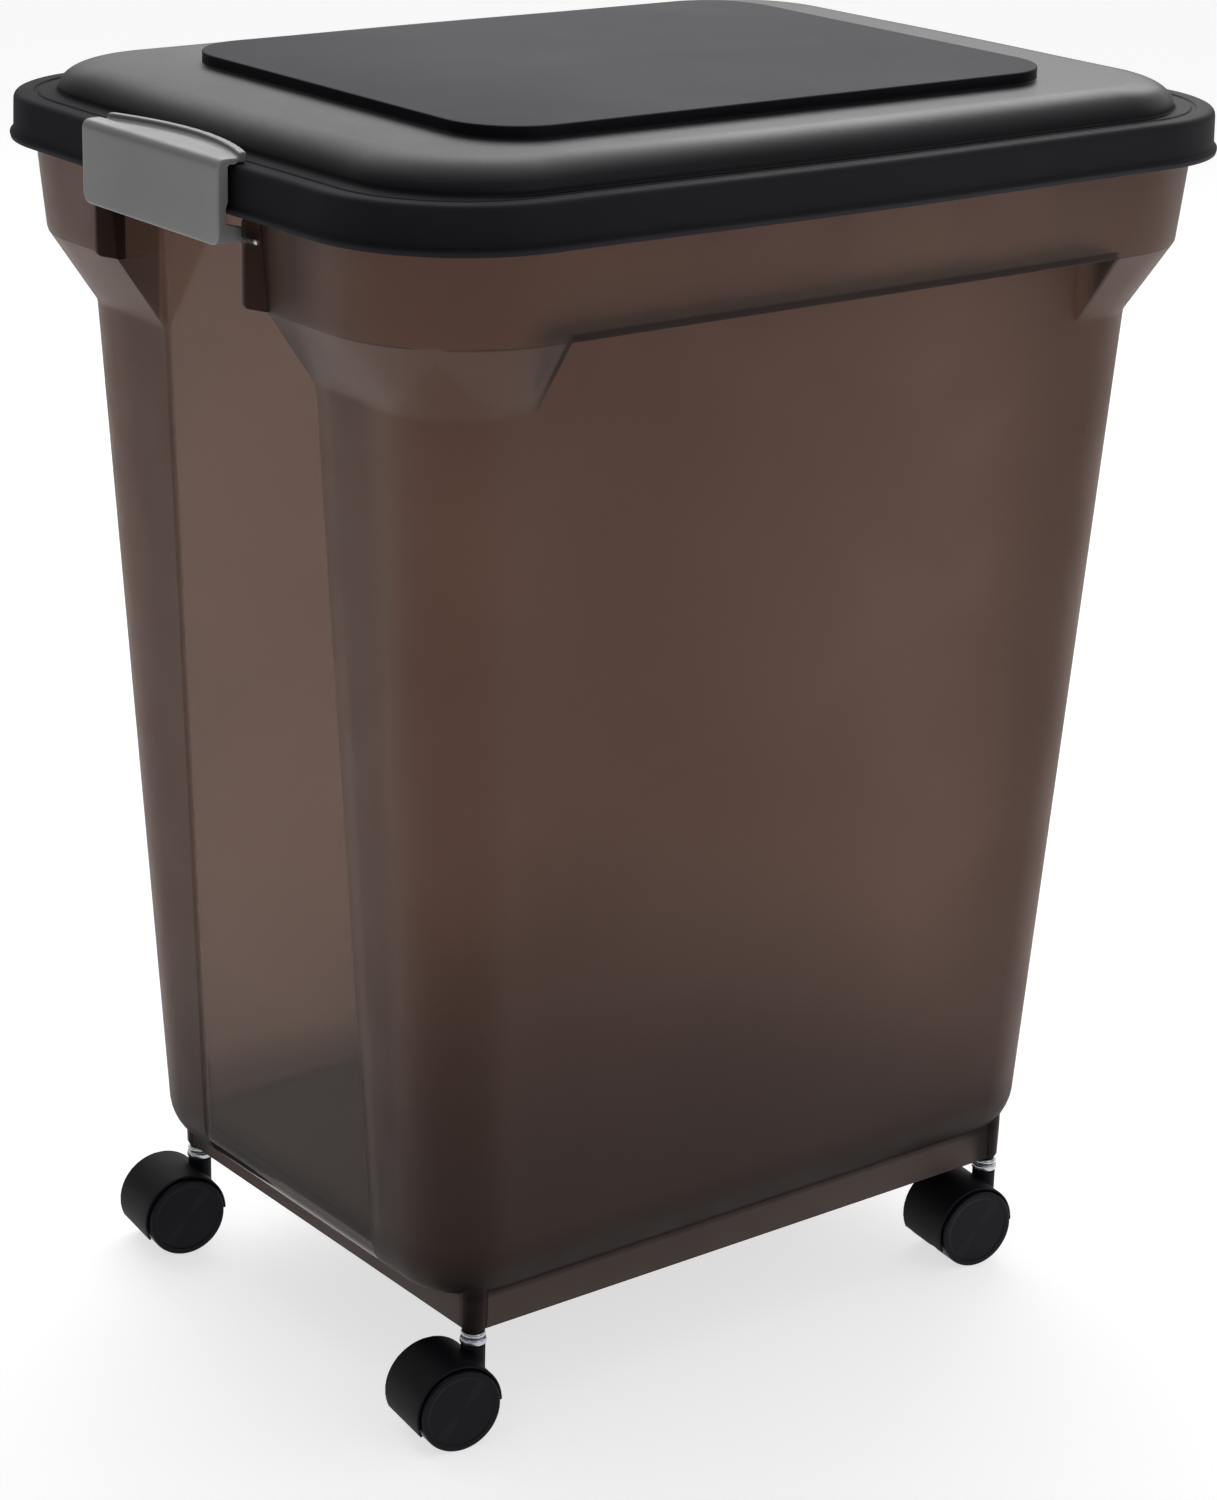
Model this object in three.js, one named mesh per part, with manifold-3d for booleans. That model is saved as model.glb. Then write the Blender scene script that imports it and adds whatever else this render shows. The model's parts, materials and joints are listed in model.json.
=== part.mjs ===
// Rolling pet food bin: translucent tapered tub on four twin-wheel casters, with a lift-off lid
// held down by two swinging latches. Millimetres, +Z up, origin on the floor at the bin's centre,
// +X along the long side, front face towards -Y.
import * as THREE from "three";
import { mergeVertices } from "three/addons/utils/BufferGeometryUtils.js";
import Module from "manifold-3d";

const wasm = await Module();
wasm.setup();

// Heights
const SKIRT_BOTTOM = 50.7;
const FLOOR_UNDER = 66.4;
const WALL_BOTTOM = 88;
const CHAMFER_BOTTOM = 484;
const COLLAR_BOTTOM = 517.9;
const COLLAR_TOP = 567.5;
const RIM_TOP = 572.5;
const LIP_BOTTOM = 558.7;
const LEDGE = 578.8;
const DOME_TOP = 591.2;
const TOP = 596.5;

// Half sizes of the tub's outline in X and Y, and its corner radius, at four levels
const WALL_LOW = { hx: 183.6, hy: 129.7, r: 36 };
const WALL_HIGH = { hx: 205.5, hy: 146, r: 36 };
const COLLAR_LOW = { hx: 229.2, hy: 169.2, r: 64 };
const COLLAR_HIGH = { hx: 233.6, hy: 173.2, r: 66 };
const FOOT = { hx: 163.6, hy: 122.6, r: 7 };
const WALL = 2.5;
const BOTTOM_CURVE = 14;
const RIM_FLANGE = 4;
const SIDE_BOW = 1.5;
const FRONT_BOW = 3;

// Hand recesses in the short sides and the flat panel under the collar of the long sides
const RECESS_HALF = 60.2;
const RECESS_FOOT_HALF = 71;
const RECESS_STEP = 1.2;
const RECESS_TOP = 562;
const PANEL_HALF = 153;
const PANEL_TOP = 517.4;

// Lid
const LID = { hx: 241, hy: 180.3, r: 68 };
const LID_WALL = 2.6;
const LIP_FLARE = 1.3;
const DOME = { hx: 221, hy: 166.4, r: 57 };
const DOME_ROLL = 20;
const PLATE = { hx: 161.2, hy: 122.6, r: 33 };

// Latches
const PIN_X = 235;
const PIN_Z = 548.2;
const PIN_R = 1.5;
const PIN_HALF = 62.6;
const PIN_GAP = 0.3;
const EAR_IN = 57.9;
const EAR_OUT = 61.1;
const LATCH_FACE = 249;
const LATCH_HALF = 54.6;
const LATCH_SHEET = 2.4;
const HOOK_UNDER = 579.2;
const HOOK_TOP = 583.6;
const HOOK_REACH = 223.8;
const HOOK_ENDS = 234;

// Casters
const STEM_X = 158.2;
const STEM_Y = 117.6;
const WHEEL_R = 19.9;
const TRAIL = 14.9;
const CASTER_TURN = THREE.MathUtils.degToRad(172.2);
const WHEEL_FACE = 18.3;
const WHEEL_INNER = 4.2;
const HOOD_R = 21.7;
const HOOD_POCKET_R = 20.5;
const HOOD_HALF = 16.2;
const HOOD_WEB = 3.6;
const HOOD_SWEEP = THREE.MathUtils.degToRad(205);
const NECK_R = 5.7;
const NECK_TOP = 43.2;
const AXLE_R = 2;
const AXLE_HALF = 15;
const STEM_TOP = 88;
const SOCKET_TOP = 94;

const CORNER_STEPS = 6;
const SIDE_STEPS = 4;
const ROUND_STEPS = 24;

// ---- solids -------------------------------------------------------------------------------

function toSolid(geometry) {
  const bare = geometry.clone();
  bare.deleteAttribute("normal");
  bare.deleteAttribute("uv");
  const merged = mergeVertices(bare, 1e-4);
  const mesh = new wasm.Mesh({
    numProp: 3,
    vertProperties: new Float32Array(merged.attributes.position.array),
    triVerts: new Uint32Array(merged.index.array),
  });
  return new wasm.Manifold(mesh);
}

function toGeometry(solid) {
  const mesh = solid.getMesh();
  const indexed = new THREE.BufferGeometry();
  indexed.setAttribute("position", new THREE.BufferAttribute(new Float32Array(mesh.vertProperties), 3));
  indexed.setIndex(new THREE.BufferAttribute(new Uint32Array(mesh.triVerts), 1));
  const flat = indexed.toNonIndexed();
  flat.computeVertexNormals();
  return flat;
}

function join(...geometries) {
  return geometries.map(toSolid).reduce((a, b) => a.add(b));
}

// Rounded rectangle, counter-clockwise from +X. Its sides bow outwards by bowX and bowY.
function outline({ hx, hy, r, bowX = 0, bowY = 0 }) {
  const sides = [
    { nx: 1, ny: 0, half: hy - r, reach: hx, bow: bowX },
    { nx: 0, ny: 1, half: hx - r, reach: hy, bow: bowY },
    { nx: -1, ny: 0, half: hy - r, reach: hx, bow: bowX },
    { nx: 0, ny: -1, half: hx - r, reach: hy, bow: bowY },
  ];
  const points = [];
  for (const side of sides) {
    for (let i = 0; i < SIDE_STEPS; i += 1) {
      const t = (2 * i) / SIDE_STEPS - 1;
      const out = side.reach + side.bow * Math.cos((Math.PI * t) / 2) ** 2;
      const along = side.half * t;
      points.push([side.nx * out - side.ny * along, side.ny * out + side.nx * along]);
    }
    const start = Math.atan2(side.ny, side.nx);
    const cx = side.nx * (side.reach - r) - side.ny * side.half;
    const cy = side.ny * (side.reach - r) + side.nx * side.half;
    for (let i = 0; i < CORNER_STEPS; i += 1) {
      const a = start + ((Math.PI / 2) * i) / CORNER_STEPS;
      points.push([cx + r * Math.cos(a), cy + r * Math.sin(a)]);
    }
  }
  return points;
}

// Closed skin through a stack of outlines, with a flat face at each end.
function loft(levels) {
  const rings = levels.map(outline);
  const count = rings[0].length;
  const position = [];
  rings.forEach((ring, k) => ring.forEach(([x, y]) => position.push(x, y, levels[k].z)));
  const index = [];
  for (let k = 0; k + 1 < rings.length; k += 1) {
    for (let j = 0; j < count; j += 1) {
      const a = k * count + j;
      const b = k * count + ((j + 1) % count);
      index.push(a, b, b + count, a, b + count, a + count);
    }
  }
  const bottom = rings.length * count;
  const top = bottom + 1;
  position.push(0, 0, levels[0].z, 0, 0, levels[levels.length - 1].z);
  const last = (rings.length - 1) * count;
  for (let j = 0; j < count; j += 1) {
    const next = (j + 1) % count;
    index.push(bottom, next, j, top, last + j, last + next);
  }
  const geometry = new THREE.BufferGeometry();
  geometry.setAttribute("position", new THREE.Float32BufferAttribute(position, 3));
  geometry.setIndex(index);
  return geometry;
}

// A flat shape drawn as [out, z] points, extruded along the horizontal direction across it.
function sidePrism(points, from, to) {
  const shape = new THREE.Shape(points.map(([x, z]) => new THREE.Vector2(x, z)));
  const geometry = new THREE.ExtrudeGeometry(shape, { depth: to - from, bevelEnabled: false });
  geometry.rotateX(Math.PI / 2);
  geometry.translate(0, to, 0);
  return geometry;
}

// A flat shape drawn as [x, y] points, extruded upwards.
function slab(points, from, to) {
  const shape = new THREE.Shape(points.map(([x, y]) => new THREE.Vector2(x, y)));
  const geometry = new THREE.ExtrudeGeometry(shape, { depth: to - from, bevelEnabled: false });
  geometry.translate(0, 0, from);
  return geometry;
}

function turned(profile, steps = ROUND_STEPS) {
  const points = profile.map(([r, z]) => new THREE.Vector2(r, z));
  const geometry = new THREE.LatheGeometry(points, steps);
  geometry.rotateX(Math.PI / 2);
  return geometry;
}

function rod(radius, from, to, steps = ROUND_STEPS) {
  return turned([[0, from], [radius, from], [radius, to], [0, to]], steps);
}

// The same rod laid along Y.
function crossRod(radius, from, to, steps = ROUND_STEPS) {
  const geometry = rod(radius, from, to, steps);
  geometry.rotateX(-Math.PI / 2);
  return geometry;
}

// ---- tub ----------------------------------------------------------------------------------

function grow({ hx, hy, r }, by, z, bow = 0) {
  return { hx: hx + by, hy: hy + by, r: r + by, z, bowX: SIDE_BOW * bow, bowY: FRONT_BOW * bow };
}

function wallReach(z, key) {
  const slope = (WALL_HIGH[key] - WALL_LOW[key]) / (CHAMFER_BOTTOM - WALL_BOTTOM);
  return WALL_HIGH[key] + slope * (z - CHAMFER_BOTTOM);
}

// Curved bottom edge, from the flat floor up to the foot of the wall.
function bottomCurve(inset, lift) {
  const steps = 5;
  const levels = [];
  for (let i = 0; i < steps; i += 1) {
    const a = ((Math.PI / 2) * i) / steps;
    const drop = BOTTOM_CURVE * (1 - Math.sin(a));
    const z = FLOOR_UNDER + (WALL_BOTTOM - FLOOR_UNDER) * (1 - Math.cos(a)) + lift;
    const { hx, hy, r } = WALL_LOW;
    levels.push({ hx: hx - drop - inset, hy: hy - drop - inset, r: r - 0.8 * drop - inset, z });
  }
  return levels;
}

function tubOutside() {
  return loft([
    ...bottomCurve(0, 0),
    grow(WALL_LOW, 0, WALL_BOTTOM),
    grow(WALL_HIGH, 0, CHAMFER_BOTTOM),
    grow(COLLAR_LOW, 0, COLLAR_BOTTOM),
    grow(COLLAR_HIGH, 0, COLLAR_TOP, 0.5),
    grow(COLLAR_HIGH, RIM_FLANGE, COLLAR_TOP + 2, 0.5),
    grow(COLLAR_HIGH, RIM_FLANGE, RIM_TOP, 0.5),
  ]);
}

function tubInside() {
  return loft([
    ...bottomCurve(WALL, WALL),
    grow(WALL_LOW, -WALL, WALL_BOTTOM + WALL),
    grow(WALL_HIGH, -WALL, CHAMFER_BOTTOM + 0.8),
    grow(COLLAR_LOW, -WALL, COLLAR_BOTTOM + 0.8),
    grow(COLLAR_HIGH, -WALL, COLLAR_TOP, 0.5),
    grow(COLLAR_HIGH, -WALL, RIM_TOP + 5, 0.5),
  ]);
}

// Everything outside one flat side panel, up to a given height. by moves the panel inwards.
function besidePanel(key, half, low, high, by) {
  const far = 300;
  const points = [
    [wallReach(low, key) - by, low],
    [far, low],
    [far, high],
    [wallReach(high, key) - by, high],
  ];
  return sidePrism(points, -half, half);
}

function around(geometry, angles) {
  return angles.map((angle) => {
    const copy = geometry.clone();
    copy.rotateZ(angle);
    return toSolid(copy);
  });
}

// Front view of a recess: it narrows up to the chamfer and has upright edges above it.
function recessFront(by) {
  const low = FLOOR_UNDER - 10;
  const spread = (RECESS_FOOT_HALF - RECESS_HALF) / (CHAMFER_BOTTOM - WALL_BOTTOM);
  const foot = RECESS_HALF + spread * (CHAMFER_BOTTOM - low) + by;
  const half = RECESS_HALF + by;
  const points = [
    [-foot, low],
    [foot, low],
    [half, CHAMFER_BOTTOM],
    [half, RECESS_TOP + by],
    [-half, RECESS_TOP + by],
    [-half, CHAMFER_BOTTOM],
  ];
  const front = sidePrism(points, 100, 320);
  front.rotateZ(-Math.PI / 2);
  return toSolid(front);
}

function recesses(by) {
  const beside = besidePanel("hx", 120, FLOOR_UNDER - 12, 600, RECESS_STEP + by);
  const recess = toGeometry(toSolid(beside).intersect(recessFront(by)));
  return around(recess, [0, Math.PI]);
}

function undercuts(by) {
  const low = CHAMFER_BOTTOM - 10;
  const cut = besidePanel("hy", PANEL_HALF + by, low, PANEL_TOP + by, by - 0.05);
  return around(cut, [Math.PI / 2, -Math.PI / 2]);
}

function footSkirt() {
  const inside = { hx: FOOT.hx - WALL, hy: FOOT.hy - WALL, r: FOOT.r - WALL };
  const outer = loft([{ ...FOOT, z: SKIRT_BOTTOM }, { ...FOOT, z: FLOOR_UNDER + 10 }]);
  const hollow = loft([{ ...inside, z: SKIRT_BOTTOM - 5 }, { ...inside, z: FLOOR_UNDER }]);
  return { outer, hollow };
}

function latchEar(side, end) {
  const points = [
    [COLLAR_LOW.hx - 3, 517.6],
    [COLLAR_LOW.hx - 0.5, 517.6],
    [240.2, 520.6],
    [240.2, 557.9],
    [COLLAR_LOW.hx - 3, 557.9],
  ];
  const ear = sidePrism(points, EAR_IN, EAR_OUT);
  ear.translate(0, end < 0 ? -(EAR_IN + EAR_OUT) : 0, 0);
  ear.rotateZ(side < 0 ? Math.PI : 0);
  return toSolid(ear);
}

function corners() {
  return [-1, 1].flatMap((sx) => [-1, 1].map((sy) => [sx * STEM_X, sy * STEM_Y]));
}

// Post that takes a caster stem: open at its foot, closed above the floor.
function socketPost() {
  return turned([
    [0, 49.9],
    [5.1, 49.9],
    [6.6, 54],
    [8, FLOOR_UNDER],
    [6.8, FLOOR_UNDER + 3],
    [6.4, SOCKET_TOP - 1.5],
    [4.9, SOCKET_TOP],
    [0, SOCKET_TOP],
  ], 16);
}

function binBody() {
  const foot = footSkirt();
  let shell = toSolid(tubOutside());
  let hollow = toSolid(tubInside());
  for (const cut of [...recesses(0), ...undercuts(0)]) {
    shell = shell.subtract(cut);
  }
  for (const keep of [...recesses(WALL), ...undercuts(WALL)]) {
    hollow = hollow.subtract(keep);
  }
  let body = shell.add(toSolid(foot.outer)).subtract(toSolid(foot.hollow)).subtract(hollow);
  for (const [x, y] of corners()) {
    const post = socketPost();
    post.translate(x, y, 0);
    const bore = rod(3.8, 40, STEM_TOP + 2, 16);
    bore.translate(x, y, 0);
    body = body.add(toSolid(post)).subtract(toSolid(bore));
  }
  for (const side of [-1, 1]) {
    for (const end of [-1, 1]) {
      body = body.add(latchEar(side, end));
    }
    const hole = crossRod(PIN_R + PIN_GAP, -EAR_OUT - 5, EAR_OUT + 5, 12);
    hole.translate(side * PIN_X, 0, PIN_Z);
    body = body.subtract(toSolid(hole));
  }
  return body;
}

// ---- lid ----------------------------------------------------------------------------------

// A level of the lid that keeps its bowed sides. inset moves the outline inwards.
function lidLevel(base, inset, z, soften = 1) {
  const { hx, hy, r } = base;
  return {
    hx: hx - inset,
    hy: hy - inset,
    r: r - soften * inset,
    z,
    bowX: SIDE_BOW,
    bowY: FRONT_BOW,
  };
}

// The dome's edge, a quarter ellipse from the ledge up to its nearly flat top.
function domeRoll(inset, low, high) {
  const levels = [];
  for (let i = 0; i <= 6; i += 1) {
    const a = ((Math.PI / 2) * i) / 6;
    const share = 1 - Math.cos(a);
    const reach = inset + (DOME_ROLL - inset) * share;
    levels.push(lidLevel(DOME, reach, low + (high - low) * Math.sin(a), 1 - 0.3 * share));
  }
  return levels;
}

function lidOutside() {
  return loft([
    lidLevel(LID, -LIP_FLARE, LIP_BOTTOM),
    lidLevel(LID, -LIP_FLARE, LIP_BOTTOM + 2.6),
    lidLevel(LID, 0.2, LIP_BOTTOM + 3.4),
    lidLevel(LID, 0.6, LEDGE - 3.4),
    lidLevel(LID, 1.6, LEDGE - 1),
    lidLevel(LID, 3.8, LEDGE),
    lidLevel(LID, 9, LEDGE),
    lidLevel(LID, 9.6, LEDGE - 0.7),
    lidLevel(LID, 11.6, LEDGE - 0.7),
    lidLevel(LID, 12.4, LEDGE - 0.1),
    ...domeRoll(0, LEDGE, DOME_TOP - 0.1),
    { ...PLATE, z: DOME_TOP },
    { ...PLATE, z: TOP - 0.5 },
    { hx: PLATE.hx - 0.5, hy: PLATE.hy - 0.5, r: PLATE.r - 0.5, z: TOP },
  ]);
}

function lidInside() {
  return loft([
    lidLevel(LID, LID_WALL, LIP_BOTTOM - 5),
    lidLevel(LID, LID_WALL + 0.4, LEDGE - 5),
    lidLevel(LID, LID_WALL + 2.4, LEDGE - LID_WALL),
    ...domeRoll(2.8, LEDGE - LID_WALL, DOME_TOP - LID_WALL - 0.1),
    { hx: PLATE.hx - 2, hy: PLATE.hy - 2, r: PLATE.r - 2, z: DOME_TOP - LID_WALL },
    { hx: PLATE.hx - 2.6, hy: PLATE.hy - 2.6, r: PLATE.r - 2.6, z: TOP - LID_WALL },
  ]);
}

function lid() {
  return toSolid(lidOutside()).subtract(toSolid(lidInside()));
}

// Soft ring between the rim and the underside of the lid's ledge.
function lidSeal() {
  const bottom = RIM_TOP + 0.4;
  const top = LEDGE - LID_WALL - 0.3;
  const ring = loft([lidLevel(LID, 5.6, bottom), lidLevel(LID, 5.6, top)]);
  const hole = loft([lidLevel(LID, 10.6, bottom - 2), lidLevel(LID, 10.6, top + 2)]);
  return toSolid(ring).subtract(toSolid(hole));
}

// ---- latches ------------------------------------------------------------------------------

function latchSheet() {
  const inner = LATCH_FACE - LATCH_SHEET;
  const points = [
    [inner, 545.8],
    [LATCH_FACE - 0.8, 545.8],
    [LATCH_FACE, 546.8],
    [LATCH_FACE, 577],
    [LATCH_FACE - 0.6, 579.2],
    [LATCH_FACE - 2, 581],
    [LATCH_FACE - 4.2, 581.9],
    [240.6, 581.9],
    [239.4, 581.2],
    [239.4, HOOK_UNDER],
    [244.8, HOOK_UNDER],
    [246.1, 578.4],
    [inner, 577],
  ];
  return toSolid(sidePrism(points, -LATCH_HALF, LATCH_HALF));
}

// Half-moon lip that reaches in over the lid's ledge, thicker along its curved edge.
function latchHook() {
  const half = LATCH_HALF - 2;
  const steps = 12;
  const edge = (inset) => {
    const points = [];
    for (let i = 0; i <= steps; i += 1) {
      const t = (2 * i) / steps - 1;
      const reach = HOOK_REACH + (HOOK_ENDS - HOOK_REACH) * t * t;
      points.push([reach + inset, half * t]);
    }
    return points;
  };
  const tongue = slab([[240.2, half], [240.2, -half], ...edge(0)], HOOK_UNDER, 581.2);
  const bead = slab([...edge(3.4).reverse(), ...edge(0)], HOOK_UNDER, HOOK_TOP);
  return join(tongue, bead);
}

function latchEnd(sign) {
  const low = [
    [LATCH_FACE - 1, 546],
    [LATCH_FACE - 1, 580],
    [243.8, 580],
    [243.8, 564],
    [244.8, 562],
    [244.8, 546],
  ];
  const flange = sidePrism(low, LATCH_HALF - 2.2, LATCH_HALF);
  const lug = sidePrism([
    [LATCH_FACE - 1, 546],
    [LATCH_FACE - 1, 556],
    [243, 554.6],
    [PIN_X, PIN_Z + 4.4],
    [PIN_X - 3.1, PIN_Z + 3.1],
    [PIN_X - 4.4, PIN_Z],
    [PIN_X - 3.1, PIN_Z - 3.1],
    [PIN_X, PIN_Z - 4.2],
  ], LATCH_HALF - 4, LATCH_HALF);
  const shift = sign < 0 ? -(2 * LATCH_HALF - 2.2) : 0;
  flange.translate(0, shift, 0);
  lug.translate(0, sign < 0 ? -(2 * LATCH_HALF - 4) : 0, 0);
  return join(flange, lug);
}

// Rounded-corner window that trims the ends of the latch, seen from outside.
function latchTrim() {
  const low = 545;
  const high = 590;
  const r = 6;
  const shape = new THREE.Shape();
  shape.moveTo(-LATCH_HALF + r, low);
  shape.lineTo(LATCH_HALF - r, low);
  shape.absarc(LATCH_HALF - r, low + r, r, -Math.PI / 2, 0);
  shape.lineTo(LATCH_HALF, high);
  shape.lineTo(-LATCH_HALF, high);
  shape.absarc(-LATCH_HALF + r, low + r, r, Math.PI, 1.5 * Math.PI);
  const geometry = new THREE.ExtrudeGeometry(shape, { depth: 50, bevelEnabled: false, curveSegments: 5 });
  geometry.rotateX(Math.PI / 2);
  geometry.rotateZ(Math.PI / 2);
  geometry.translate(210, 0, 0);
  return toSolid(geometry);
}

function latch() {
  const hole = crossRod(PIN_R + PIN_GAP, -80, 80, 12);
  hole.translate(PIN_X, 0, PIN_Z);
  const sheet = latchSheet().add(latchHook()).add(latchEnd(1)).add(latchEnd(-1));
  return sheet.intersect(latchTrim()).subtract(toSolid(hole));
}

// ---- casters ------------------------------------------------------------------------------

// Caster frame: stem on the Z axis, wheel centre at [TRAIL, 0, WHEEL_R], axle along Y.
function hood() {
  const pie = new THREE.Shape();
  pie.moveTo(0, 0);
  pie.absarc(0, 0, HOOD_R, Math.PI - HOOD_SWEEP, Math.PI);
  const cover = new THREE.ExtrudeGeometry(pie, {
    depth: 2 * HOOD_HALF,
    bevelEnabled: false,
    curveSegments: 16,
  });
  cover.rotateX(Math.PI / 2);
  cover.translate(TRAIL, HOOD_HALF, WHEEL_R);
  const hub = crossRod(5.5, -HOOD_WEB, HOOD_WEB, 16);
  hub.translate(TRAIL, 0, WHEEL_R);
  let solid = toSolid(cover).add(toSolid(rod(NECK_R, 24, NECK_TOP, 16)));
  for (const side of [-1, 1]) {
    const pocket = crossRod(HOOD_POCKET_R, 0, 30, 32);
    pocket.translate(TRAIL, side > 0 ? HOOD_WEB : -HOOD_WEB - 30, WHEEL_R);
    solid = solid.subtract(toSolid(pocket));
  }
  const stemHole = rod(AXLE_R + 0.3, 25.6, 50, 12);
  const axleHole = crossRod(AXLE_R + 0.35, -10, 10, 12);
  axleHole.translate(TRAIL, 0, WHEEL_R);
  return solid.add(toSolid(hub)).subtract(toSolid(stemHole)).subtract(toSolid(axleHole));
}

function stem() {
  return turned([
    [0, 26],
    [AXLE_R, 26],
    [AXLE_R, 43.6],
    [6.2, 43.6],
    [6.2, 46],
    [5.2, 46.7],
    [2.5, 46.7],
    [2.5, STEM_TOP - 1.5],
    [1.4, STEM_TOP],
    [0, STEM_TOP],
  ], 16);
}

function socketSleeve() {
  return turned([
    [2.8, 47],
    [5.4, 47],
    [6, 48],
    [5.4, 49.5],
    [3.5, 49.5],
    [3.5, 86],
    [2.8, 86],
    [2.8, 47],
  ], 16);
}

function axle() {
  const geometry = crossRod(AXLE_R, -AXLE_HALF, AXLE_HALF, 12);
  geometry.translate(TRAIL, 0, WHEEL_R);
  return geometry;
}

function wheel(side) {
  const geometry = turned([
    [0, AXLE_HALF + 0.6],
    [AXLE_R + 0.35, AXLE_HALF + 0.6],
    [AXLE_R + 0.35, WHEEL_INNER],
    [WHEEL_R - 0.6, WHEEL_INNER],
    [WHEEL_R, WHEEL_INNER + 0.6],
    [WHEEL_R, WHEEL_FACE - 1],
    [WHEEL_R - 1, WHEEL_FACE],
    [0, WHEEL_FACE],
  ]);
  geometry.rotateX(side > 0 ? -Math.PI / 2 : Math.PI / 2);
  geometry.translate(TRAIL, 0, WHEEL_R);
  return geometry;
}

// ---- assembly -----------------------------------------------------------------------------

const smokePlastic = { color: 0x5a4840, roughness: 0.42, metalness: 0 };
const blackPlastic = { color: 0x1b1a1d, roughness: 0.4, metalness: 0 };
const greyPlastic = { color: 0x74767a, roughness: 0.45, metalness: 0 };
const sealRubber = { color: 0x2a2a2c, roughness: 0.8, metalness: 0 };
const zincSteel = { color: 0xb4bbc2, roughness: 0.28, metalness: 1 };
const casterBlack = { color: 0x17181b, roughness: 0.5, metalness: 0 };
const wheelBlack = { color: 0x1a1b20, roughness: 0.42, metalness: 0 };

const root = new THREE.Group();

function place(parent, name, shape, finish) {
  const geometry = shape.isBufferGeometry ? shape : toGeometry(shape);
  const mesh = new THREE.Mesh(geometry, new THREE.MeshStandardMaterial(finish));
  mesh.name = name;
  parent.add(mesh);
  return mesh;
}

function addLatch(name, angle) {
  const pin = crossRod(PIN_R, -PIN_HALF, PIN_HALF, 12);
  pin.translate(PIN_X, 0, PIN_Z);
  place(root, `latch_${name}`, latch(), greyPlastic).rotation.z = angle;
  place(root, `latch_pin_${name}`, pin, zincSteel).rotation.z = angle;
}

function addCaster(name, x, y) {
  const group = new THREE.Group();
  group.position.set(x, y, 0);
  group.rotation.z = CASTER_TURN;
  root.add(group);
  place(group, `caster_${name}_socket`, socketSleeve(), zincSteel);
  place(group, `caster_${name}_stem`, stem(), zincSteel);
  place(group, `caster_${name}_hood`, hood(), casterBlack);
  place(group, `caster_${name}_axle`, axle(), zincSteel);
  place(group, `caster_${name}_wheel_a`, wheel(1), wheelBlack);
  place(group, `caster_${name}_wheel_b`, wheel(-1), wheelBlack);
}

place(root, "bin_body", binBody(), smokePlastic);
place(root, "lid", lid(), blackPlastic);
place(root, "lid_seal", lidSeal(), sealRubber);
addLatch("right", 0);
addLatch("left", Math.PI);
addCaster("front_left", -STEM_X, -STEM_Y);
addCaster("front_right", STEM_X, -STEM_Y);
addCaster("back_left", -STEM_X, STEM_Y);
addCaster("back_right", STEM_X, STEM_Y);

export default root;
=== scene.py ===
"""Rolling pet food bin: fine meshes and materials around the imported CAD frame. Metres, +Z up."""

import json
import math

import bmesh
import bpy
from mathutils import Matrix, Vector

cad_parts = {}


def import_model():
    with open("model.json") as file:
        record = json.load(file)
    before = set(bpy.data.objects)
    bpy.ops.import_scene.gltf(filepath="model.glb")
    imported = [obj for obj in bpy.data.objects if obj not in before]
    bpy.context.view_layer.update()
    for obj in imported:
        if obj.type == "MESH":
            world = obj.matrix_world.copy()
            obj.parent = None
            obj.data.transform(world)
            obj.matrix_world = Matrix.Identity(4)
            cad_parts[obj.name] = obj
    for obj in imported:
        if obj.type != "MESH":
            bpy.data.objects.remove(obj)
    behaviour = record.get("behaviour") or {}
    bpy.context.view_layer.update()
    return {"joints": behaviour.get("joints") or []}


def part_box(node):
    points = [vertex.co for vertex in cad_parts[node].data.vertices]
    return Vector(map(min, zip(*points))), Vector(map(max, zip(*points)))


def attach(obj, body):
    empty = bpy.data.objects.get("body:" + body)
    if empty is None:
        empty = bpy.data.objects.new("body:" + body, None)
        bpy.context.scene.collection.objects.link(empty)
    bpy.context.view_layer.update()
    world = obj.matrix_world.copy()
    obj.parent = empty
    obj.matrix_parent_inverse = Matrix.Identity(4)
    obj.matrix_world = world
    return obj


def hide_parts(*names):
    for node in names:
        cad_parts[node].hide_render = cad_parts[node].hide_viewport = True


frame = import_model()

MM = 0.001
CORNERS = ("front_left", "front_right", "back_left", "back_right")

# Tub in millimetres. A level is: half sizes in X and Y, corner radius, height, share of side bow
WALL = 2.5
FLOOR_UNDER = 66.4
WALL_LOW = (183.6, 129.7, 36, 88, 0)
WALL_HIGH = (205.5, 146, 36, 484, 0)
COLLAR_LOW = (229.2, 169.2, 64, 517.9, 0)
COLLAR_HIGH = (233.6, 173.2, 66, 567.5, 0.5)
RIM_TOP = 572.5
WALL_FILLETS = (0, 2, 1.5, 0)
BOTTOM_CURVE = 14
SIDE_BOW = 1.5
FRONT_BOW = 3
RECESS_HALF = 60.2
RECESS_FOOT_HALF = 71
RECESS_STEP = 1.2
RECESS_TOP = 562
PANEL_HALF = 153
PANEL_TOP = 517.4
FOOT = (163.6, 122.6, 7)
FOOT_TOP = 70
EAR_IN = 57.9
EAR_OUT = 61.1

# Lid heights
LIP_BOTTOM = 558.7
LEDGE = 578.8
DOME_TOP = 591.2
TOP = 596.5


# ---- meshes --------------------------------------------------------------------------------

LEAST_RADIUS = 0.05


def new_object(name, verts, faces):
    """An object from vertices in millimetres."""
    mesh = bpy.data.meshes.new(name)
    mesh.from_pydata([(x * MM, y * MM, z * MM) for x, y, z in verts], [], faces)
    mesh.update()
    obj = bpy.data.objects.new(name, mesh)
    bpy.context.collection.objects.link(obj)
    smooth(obj)
    return obj


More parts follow.
